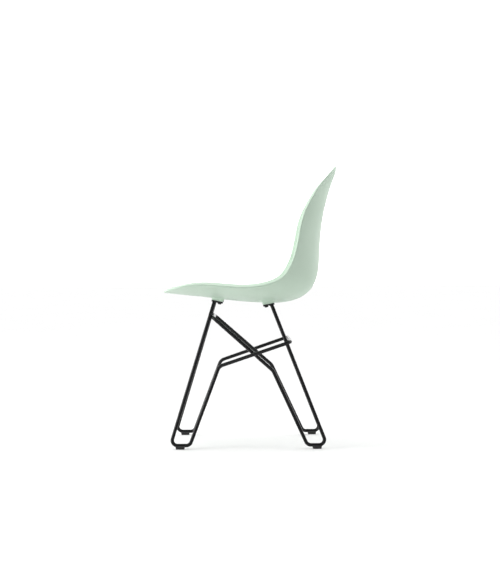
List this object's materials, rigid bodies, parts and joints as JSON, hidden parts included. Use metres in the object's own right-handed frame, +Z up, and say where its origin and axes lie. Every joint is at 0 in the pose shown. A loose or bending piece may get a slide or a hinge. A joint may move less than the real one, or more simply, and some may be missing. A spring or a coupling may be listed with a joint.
{
  "type": "shell chair",
  "caption": "Side chair with a one-piece moulded plastic seat and back shell on a welded frame of bent black steel rods with looped feet.",
  "frame": {"origin": "on the floor, at the middle of the chair's overall depth and width", "axes": "+Z up, +X toward the back of the chair, +Y toward the sitter's right"},
  "size_m": [0.5136, 0.464, 0.8242],
  "materials": {
    "shell": "satin moulded polypropylene, pale mint green",
    "rod_black": "satin black powder coat on steel",
    "pad_black": "black polypropylene, fine matte",
    "glide_black": "black nylon, matte, scuffed below",
    "zinc": "black zinc-plated steel",
    "brass": "plain brass"
  },
  "bodies": {
    "root": {"seat_shell": "shell", "front_rod": "rod_black", "rear_rod": "rod_black", "front_left_plate": "rod_black", "front_left_pad": "pad_black", "front_left_washer": "zinc", "front_left_screw": "zinc", "front_left_insert": "brass", "front_left_glide": "glide_black", "front_left_plate_weld": "rod_black", "front_left_crossbar_weld": "rod_black", "front_right_plate": "rod_black", "front_right_pad": "pad_black", "front_right_washer": "zinc", "front_right_screw": "zinc", "front_right_insert": "brass", "front_right_glide": "glide_black", "front_right_plate_weld": "rod_black", "front_right_crossbar_weld": "rod_black", "rear_left_plate": "rod_black", "rear_left_pad": "pad_black", "rear_left_washer": "zinc", "rear_left_screw": "zinc", "rear_left_insert": "brass", "rear_left_glide": "glide_black", "rear_left_plate_weld": "rod_black", "rear_left_crossbar_weld": "rod_black", "rear_right_plate": "rod_black", "rear_right_pad": "pad_black", "rear_right_washer": "zinc", "rear_right_screw": "zinc", "rear_right_insert": "brass", "rear_right_glide": "glide_black", "rear_right_plate_weld": "rod_black", "rear_right_crossbar_weld": "rod_black"}
  },
  "joints": []
}
